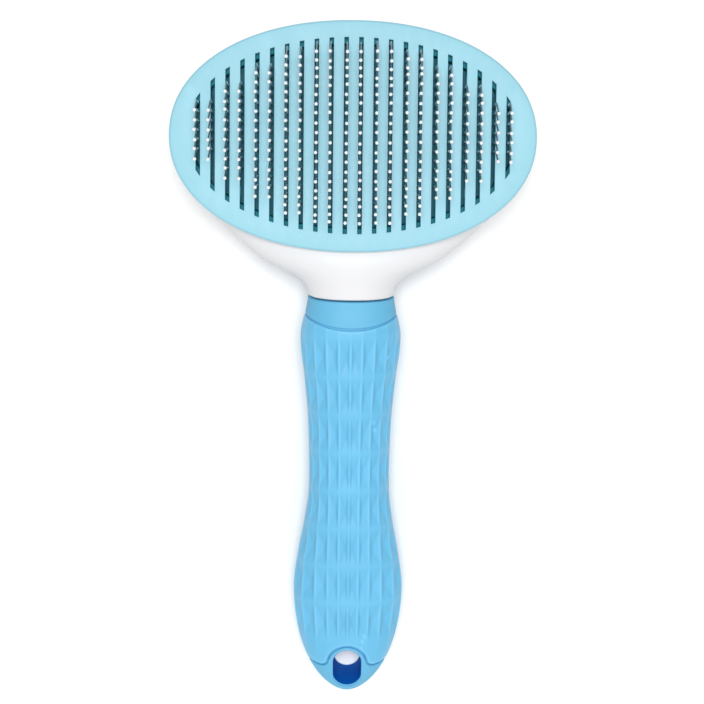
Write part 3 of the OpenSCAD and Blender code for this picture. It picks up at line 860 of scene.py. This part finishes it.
def build_spring(side, name):
    """Compression spring with flat closed ends; the coil is built at one length."""
    wire, turns, per_turn = 0.8, 7, 32
    box_low, box_high = node_box(name)
    centre = (box_low + box_high) / 2
    radius = (box_high[0] - box_low[0]) / 2 - wire / 2
    low, high = box_low[2] + wire / 2, box_high[2] - wire / 2
    t = np.linspace(0, turns, turns * per_turn + 1)
    flat = wire * 1.05
    middle = flat + (t - 1) * (high - low - 2 * flat) / (turns - 2)
    rise = np.where(t < 1, t * flat, np.where(t > turns - 1, high - low - (turns - t) * flat, middle))
    angle = side * 2 * np.pi * t
    path = np.stack([centre[0] + radius * np.cos(angle), centre[1] + radius * np.sin(angle),
                     low + rise], -1)
    spring = make_piece(name + "_coil", *tube(path, wire / 2, 10), "push_plate", "spring_steel",
                        [spring_steel], [name], sharp=60)
    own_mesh(spring)
    return spring


# ---- Handle -------------------------------------------------------------------------------

# Half-width to which the boundaries are drawn, past the handle's widest
EDGE_REACH = 18


def edge_curve(x, s, offset):
    """A boundary across the handle as a function of |x|, moved by offset along its normal."""
    dx, ds = np.gradient(x), np.gradient(s)
    size = np.hypot(dx, ds)
    ox, os_ = x - offset * ds / size, s + offset * dx / size
    order = np.maximum.accumulate(ox)
    return lambda across: np.interp(np.abs(across), order, os_)


def collar_edge(offset=0.0):
    """Arc across the collar, which reaches furthest down the handle in the middle."""
    radius = (COLLAR_HALF ** 2 + COLLAR_SAG ** 2) / (2 * COLLAR_SAG)
    x = np.linspace(0, EDGE_REACH, 120)
    s = COLLAR_SIDE + COLLAR_SAG - radius + np.sqrt(radius ** 2 - x ** 2)
    return edge_curve(x, s, offset)


def eye_edge(offset):
    """Round eye over the hanging hole that sweeps out into a nearly level band."""
    turn = np.arccos((EYE_SWEEP - (EYE_BAND - EYE_S)) / (EYE_R + EYE_SWEEP))
    a = np.linspace(0, turn, 60)
    arc = np.stack([EYE_R * np.sin(a), EYE_S - EYE_R * np.cos(a)], -1)
    centre = (EYE_R + EYE_SWEEP) * np.array([np.sin(turn), -np.cos(turn)]) + [0, EYE_S]
    b = np.linspace(turn, 0, 30)[1:]
    sweep = centre + EYE_SWEEP * np.stack([-np.sin(b), np.cos(b)], -1)
    x = np.linspace(centre[0], EDGE_REACH, 30)[1:]
    band = np.stack([x, EYE_BAND - 0.04 * (x - centre[0]) ** 2], -1)
    points = np.concatenate([arc, sweep, band])
    return edge_curve(points[:, 0], points[:, 1], offset)


GROOVE_HALF = 0.27
GROOVE_DEPTH = 0.95
UNDER_GRIP = 2.2
LIP = 0.5
COLUMNS_PER_CELL = 12
handle_angle = np.pi / 2 + full_turn(GRIP_COLUMNS * COLUMNS_PER_CELL)
# Stations between which each boundary is looked for
COLLAR_STATIONS, EYE_STATIONS = (1, 12), (100, 118)


def station_on_edge(edge, stations):
    """For each column, the station at which the handle's outline meets a boundary."""
    low, high = (np.full(len(handle_angle), float(s)) for s in stations)
    for _ in range(40):
        middle = (low + high) / 2
        below = middle < edge(handle_point(middle, handle_angle)[:, 0])
        low, high = np.where(below, middle, low), np.where(below, high, middle)
    return (low + high) / 2


def lip_rows(edge_of, direction, stations):
    """Rows over a rounded lip into a groove. direction is +1 where the groove lies ahead."""
    rows = []
    for a in np.linspace(0, np.pi / 2, 6):
        back = LIP * (1 - np.sin(a))
        inset = LIP * (1 - np.cos(a))
        edge = edge_of(-direction * (GROOVE_HALF + back))
        rows.append((station_on_edge(edge, stations), inset))
    rows.append((rows[-1][0], GROOVE_DEPTH))
    return rows


def strip_point(s, angle):
    """Point on flat strips between the grip's lengthwise ridges."""
    step = 2 * np.pi / GRIP_COLUMNS
    place = (angle - np.pi / 2) / step
    i = np.floor(place)
    u = (place - i)[..., None]
    near, far = np.pi / 2 + i * step, np.pi / 2 + (i + 1) * step
    return (1 - u) * handle_point(s, near) + u * handle_point(s, far)


def dimple_share(s, angle):
    """1 at each cell's dimple, 0 on its four ridges, and flat facets in between."""
    place = (angle - np.pi / 2) / (2 * np.pi) * GRIP_COLUMNS
    i = np.floor(place)
    row = np.clip((s - FIRST_ROW) / ROW_STEP, 0, GRIP_ROWS)
    u, v = place - i, row - np.floor(row)
    left = (i % GRIP_COLUMNS) < GRIP_COLUMNS / 2
    u0, v0 = np.where(left, DIMPLE_ACROSS, 1 - DIMPLE_ACROSS), DIMPLE_ALONG
    return np.minimum.reduce([u / u0, (1 - u) / (1 - u0), v / v0, (1 - v) / (1 - v0)])


def grip_shift(s, angle):
    """How far the faceted surface lies from the smooth outline, with slightly softened edges."""
    last_row = FIRST_ROW + GRIP_ROWS * ROW_STEP
    soft_s, soft_angle, side_weight = 0.6, 0.012, 0.6
    total, weight = 0.0, 0.0
    for ds in (-soft_s, 0, soft_s):
        for da in (-soft_angle, 0, soft_angle):
            w = (1.0 if ds == 0 else side_weight) * (1.0 if da == 0 else side_weight)
            q, t = s + ds, angle + da
            dimple = DIMPLE_DEPTH * dimple_share(q, t)[..., None]
            inward = handle_point(q, t, 1.0) - handle_point(q, t)
            fade = np.clip((last_row + FACET_FADE - q) / FACET_FADE, 0, 1)[..., None]
            total = total + w * fade * (strip_point(q, t) - handle_point(q, t) + dimple * inward)
            weight += w
    return total / weight


def build_grip():
    """Soft sleeve between the collar's groove and the tail's."""
    n = len(handle_angle)
    top = lip_rows(collar_edge, -1, COLLAR_STATIONS)[::-1]
    low = lip_rows(eye_edge, 1, EYE_STATIONS)
    s_top, s_low = top[-1][0], low[0][0]
    body = [((1 - v) * s_top + v * s_low, 0.0) for v in np.linspace(0, 1, 236)[1:-1]]
    rings = []
    for s, inset in top + body + low:
        shift = grip_shift(s, handle_angle)
        rings.append(handle_point(s, handle_angle, inset) + shift * max(0.0, 1 - inset / LIP))
    inner = [handle_point(s, handle_angle, UNDER_GRIP - 0.4) for s in
             ((1 - v) * low[-1][0] + v * top[0][0] for v in np.linspace(0, 1, 40))]
    rings = to_world(np.array(rings + inner))
    faces = grid_faces(len(rings), n)
    back = (len(rings) - 1) * n
    closing = [(back + i, back + (i + 1) % n, (i + 1) % n, i) for i in range(n)]
    grip = make_piece("grip_sleeve", rings.reshape(-1, 3), [*map(tuple, faces), *closing],
                      "brush", "grip_blue", [grip_material], ["grip"], sharp=60)
    return weld(grip)


def collar_step(s, edge):
    """The collar's shallow chamfer that runs down to the groove."""
    return np.clip((s - (edge - COLLAR_RAMP)) / COLLAR_RAMP, 0, 1) * COLLAR_DROP


def build_core():
    """Hard core: tang, collar, the floor under the grip, and the tail with its hanging hole."""
    n = len(handle_angle)
    rings = []
    for s, less in ((-12.9, 0.9), (-13, 0.6), (-12.6, 0.1), (NECK_GAP - 0.2, 0)):
        edge = oval(TANG_W / 2 - less, TANG_H / 2 - less, TANG_POWER, handle_angle)
        rings.append(np.stack([edge[:, 0], np.full(n, -s), edge[:, 1]], -1))
    rings.append(handle_point(NECK_GAP, handle_angle, 2.0))
    for a in np.linspace(0, np.pi / 2, 5):
        rings.append(handle_point(NECK_GAP + NECK_RIM * (1 - np.cos(a)), handle_angle,
                                  NECK_RIM * (1 - np.sin(a))))
    collar_lip = lip_rows(collar_edge, 1, COLLAR_STATIONS)
    start = NECK_GAP + NECK_RIM
    groove = station_on_edge(collar_edge(), COLLAR_STATIONS)
    for v in np.linspace(0, 1, 24)[1:-1]:
        s = (1 - v) * start + v * collar_lip[0][0]
        rings.append(handle_point(s, handle_angle, collar_step(s, groove)))
    for s, inset in collar_lip:
        rings.append(handle_point(s, handle_angle, inset + collar_step(s, groove)))
    tail_lip = lip_rows(eye_edge, -1, EYE_STATIONS)[::-1]
    s0, s1 = collar_lip[-1][0], tail_lip[0][0]
    to_step, to_floor = 0.9, 1.3
    rings.append(handle_point(s0 + to_step, handle_angle, GROOVE_DEPTH))
    for v in np.linspace(0, 1, 12):
        s = (1 - v) * (s0 + to_floor) + v * (s1 - to_floor)
        rings.append(handle_point(s, handle_angle, UNDER_GRIP))
    rings.append(handle_point(s1 - to_step, handle_angle, GROOVE_DEPTH))
    for s, inset in tail_lip:
        rings.append(handle_point(s, handle_angle, inset))
    for v in np.sin(np.linspace(0, np.pi / 2, 44))[1:-1]:
        s = (1 - v) * tail_lip[-1][0] + v * HANDLE_LEN
        rings.append(handle_point(s, handle_angle))
    core = make_piece("handle_core_moulding", *closed_loft(to_world(np.array(rings))), "brush",
                      "handle_blue", [core_material], ["handle_core"], sharp=50)
    weld(core)
    cutter = hang_hole_cutter()
    cut = core.modifiers.new("hole", "BOOLEAN")
    cut.operation, cut.solver, cut.object = "DIFFERENCE", "EXACT", cutter
    bpy.context.view_layer.update()
    graph = bpy.context.evaluated_depsgraph_get()
    carved = bpy.data.meshes.new_from_object(core.evaluated_get(graph))
    core.modifiers.clear()
    core.data = carved
    bpy.data.objects.remove(cutter)
    # Painted shade: the faces of the hanging hole's wall get the darker hole material
    carved.materials.append(hole_shade_material)
    lean_room, wall_room, steep = 0.6, 0.35, 0.6
    for face in carved.polygons:
        x, y, _ = in_handle_axes(*(np.array(face.center) / MM))
        along = max(abs(-y - HANG_S) - HANG_SLOT / 2 - lean_room, 0)
        if np.hypot(x, along) < HANG_R + wall_room and abs(face.normal.z) < steep:
            face.material_index = 1
    shade_smooth(carved, 50)
    return core


def hang_hole_cutter():
    """Obround cutter whose wall flares at both faces, so the hole's rims come out rounded."""
    back_rim, front_rim, flare, beyond = 0.25, 0.6, 1.6, 2.0
    angle = full_turn(96)
    centre_s = HANG_S - np.sign(np.sin(angle)) * HANG_SLOT / 2
    normal = np.stack([np.cos(angle), np.sin(angle)], -1)

    def wall(offset):
        x = (HANG_R + offset) * normal[:, 0]
        s = centre_s - (HANG_R + offset) * normal[:, 1]
        return x, s

    def height(offset):
        x, s = wall(offset)
        reach = np.clip(1 - (np.abs(x) / half_w(s)) ** HANDLE_POWER, 0.0, 1)
        return half_h(s) * reach ** (1 / HANDLE_POWER)

    rings = []
    base = height(0)
    for side, rim in ((-1, back_rim), (1, front_rim)):
        rows = []
        for a in np.linspace(0, np.pi / 2 * 0.86, 8):
            offset = rim * (1 - np.cos(a))
            x, s = wall(offset)
            tilt_drop = height(offset) - base
            rows.append(np.stack([x, -s, side * (base + tilt_drop - rim * (1 - np.sin(a)))], -1))
        x, s = wall(rim * flare)
        rows.append(np.stack([x, -s, side * (height(rim * flare) + beyond)], -1))
        rings += rows[::-1] if side < 0 else rows
    rings = np.array(rings)
    rings[..., 1] -= (rings[..., 2] - base.max()) * np.tan(HANG_LEAN)
    points, faces = closed_loft(to_world(rings))
    return weld(new_object("hang_hole_cutter", new_mesh("hang_hole_cutter", points, faces)))


# ---- Build --------------------------------------------------------------------------------

build_shell()
build_button()
build_plate()
build_bed()
build_pad()
pin_random = np.random.default_rng(7)
for row in range(len(ROW_STAPLES)):
    build_pin_row(row, pin_random)
build_spring(-1, "return_spring_left")
build_spring(1, "return_spring_right")
build_grip()
build_core()
for node in ("bed_screws", "neck_screw"):
    paint_cad_node(node, screw_steel)


# ---- Floor, lights and camera -------------------------------------------------------------

def build_floor():
    material, shader = new_material("floor_white", (0.93, 0.93, 0.93), 0.6)
    mottle = object_noise(material, 6, 3)
    tint = ramp(material, mottle.outputs["Fac"], [(0.3, (0.925,) * 3), (0.7, (0.94,) * 3)])
    link(material, tint.outputs["Color"], shader.inputs["Base Color"])
    half = 3000.0
    corners = [(-half, -half, 0), (half, -half, 0), (half, half, 0), (-half, half, 0)]
    mesh = new_mesh("floor", corners, [(0, 1, 2, 3)])
    mesh.materials.append(material)
    floor = new_object("floor", mesh)


def area_light(name, place, target, size, power):
    light = bpy.data.lights.new(name, "AREA")
    light.shape = "DISK"
    light.size = size
    light.energy = power
    obj = new_object(name, light)
    obj.location = place
    obj.rotation_mode = "QUATERNION"
    obj.rotation_quaternion = (Vector(target) - Vector(place)).to_track_quat("-Z", "Y")


def build_world(strength):
    world = bpy.data.worlds.new("studio")
    world.use_nodes = True
    background = world.node_tree.nodes["Background"]
    background.inputs["Color"].default_value = (1, 1, 1, 1)
    background.inputs["Strength"].default_value = strength
    bpy.context.scene.world = world


def build_camera():
    """Camera over the head, as fitted to the photo: place in mm, turns, and focal length in px."""
    place = np.array([-3.345, 44.128, 463.787])
    rx, ry, rz = 0.0872, 0.0086, -0.0098
    focal_px, frame_px, sensor = 1509.7, 704, 36.0
    turn = (Matrix.Rotation(rz, 4, "Z") @ Matrix.Rotation(ry, 4, "Y") @ Matrix.Rotation(rx, 4, "X"))
    data = bpy.data.cameras.new("camera")
    data.sensor_width = sensor
    data.lens = focal_px / frame_px * sensor
    data.clip_start, data.clip_end = 0.01, 20
    camera = new_object("camera", data)
    camera.matrix_world = Matrix.Translation(Vector(place * MM)) @ turn.transposed()
    bpy.context.scene.camera = camera


build_floor()
build_world(0.4)
area_light("key", (0, 0.12, 1.0), (0, 0, 0.02), size=0.35, power=7.0)
area_light("fill", (0, -0.75, 0.45), (0, 0, 0.02), size=0.6, power=1.8)
build_camera()
bpy.context.scene.view_settings.view_transform = "Standard"
